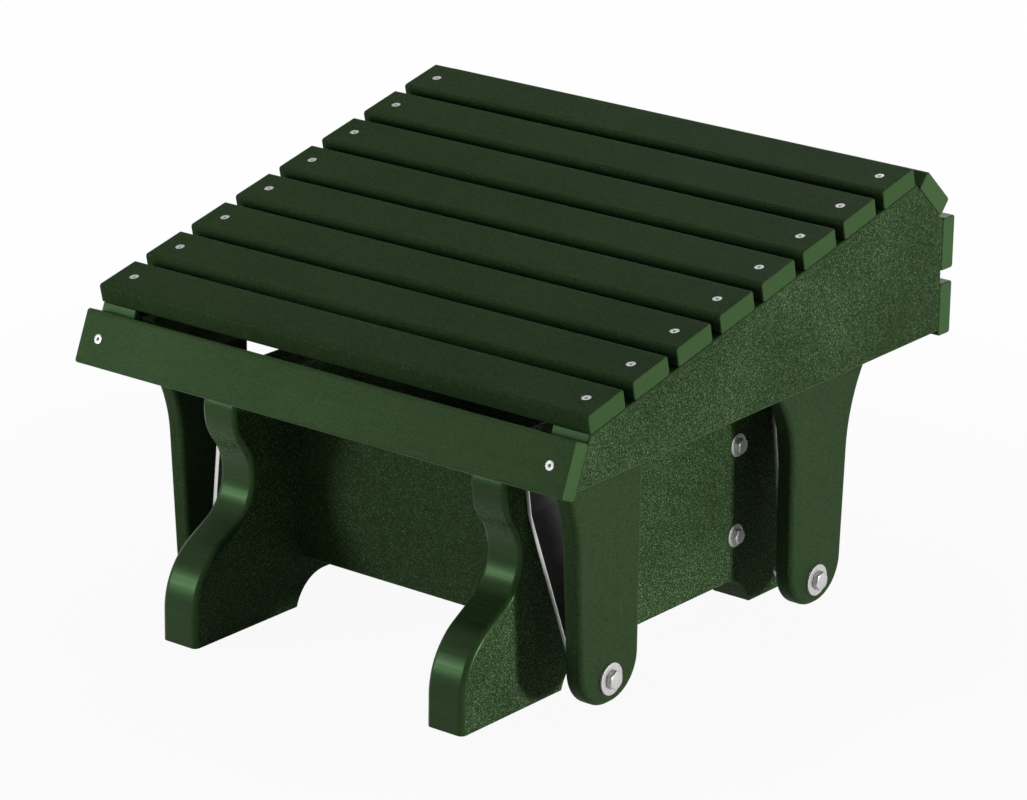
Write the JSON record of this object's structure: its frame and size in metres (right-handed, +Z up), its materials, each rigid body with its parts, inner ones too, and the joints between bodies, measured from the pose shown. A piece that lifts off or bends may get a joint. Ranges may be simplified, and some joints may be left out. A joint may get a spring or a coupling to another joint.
{
  "type": "glider ottoman",
  "caption": "Plank ottoman in dark green plastic lumber whose slatted, sloping seat glides fore and aft on steel swing links hung from a low base",
  "frame": {"origin": "on the floor below the centre of the overall box, seat at rest", "axes": "+X to the right across the slats, +Y to the high rear edge, +Z up"},
  "size_m": [0.56, 0.589, 0.4207],
  "materials": {
    "lumber": "satin, lightly grained recycled plastic lumber",
    "steel": "satin stainless",
    "bush_plastic": "matte moulded nylon"
  },
  "bodies": {
    "base": {"base_end_left": "lumber", "base_end_right": "lumber", "hanger_bolts": "steel", "hanger_nuts": "steel", "hanger_washers": "steel", "stretcher_front": "lumber", "stretcher_rear": "lumber", "stretcher_screws": "steel", "stretcher_washers": "steel"},
    "seat": {"apron": "lumber", "leg_front_left": "lumber", "leg_front_right": "lumber", "leg_rear_left": "lumber", "leg_rear_right": "lumber", "leg_screws": "steel", "pivot_bolts": "steel", "pivot_nuts": "steel", "pivot_washers": "steel", "seat_side_left": "lumber", "seat_side_right": "lumber", "slat_1": "lumber", "slat_2": "lumber", "slat_3": "lumber", "slat_4": "lumber", "slat_5": "lumber", "slat_6": "lumber", "slat_7": "lumber", "slat_8": "lumber", "slat_back_lower": "lumber", "slat_back_upper": "lumber", "slat_crest": "lumber", "slat_screws": "steel"},
    "link_front_left": {"link_front_left": "steel", "bushes_front_left": "bush_plastic"},
    "link_front_right": {"link_front_right": "steel", "bushes_front_right": "bush_plastic"},
    "link_rear_left": {"link_rear_left": "steel", "bushes_rear_left": "bush_plastic"},
    "link_rear_right": {"link_rear_right": "steel", "bushes_rear_right": "bush_plastic"}
  },
  "joints": [
    {"name": "swing_front_left", "type": "hinge", "parent": "base", "child": "link_front_left", "pos_m": [-0.1803, -0.1968, 0.218], "axis": [1, 0, 0], "range_deg": [-10, 10]},
    {"name": "swing_front_right", "type": "hinge", "parent": "base", "child": "link_front_right", "pos_m": [0.1803, -0.1968, 0.218], "axis": [1, 0, 0], "range_deg": [-10, 10]},
    {"name": "swing_rear_left", "type": "hinge", "parent": "base", "child": "link_rear_left", "pos_m": [-0.1803, 0.17826, 0.218], "axis": [1, 0, 0], "range_deg": [-10, 10]},
    {"name": "swing_rear_right", "type": "hinge", "parent": "base", "child": "link_rear_right", "pos_m": [0.1803, 0.17826, 0.218], "axis": [1, 0, 0], "range_deg": [-10, 10]},
    {"name": "seat_pitch", "type": "hinge", "parent": "link_front_left", "child": "seat", "pos_m": [-0.21035, -0.1667, 0.032], "axis": [1, 0, 0], "range_deg": [-11.9, 11.9]}
  ],
  "couplings": [
    {"joint": "swing_front_right", "follows": "swing_front_left", "ratio": 1},
    {"joint": "swing_rear_left", "follows": "swing_front_left", "ratio": 1},
    {"joint": "swing_rear_right", "follows": "swing_front_left", "ratio": 1},
    {"joint": "seat_pitch", "follows": "swing_front_left", "ratio": -1.1893}
  ]
}
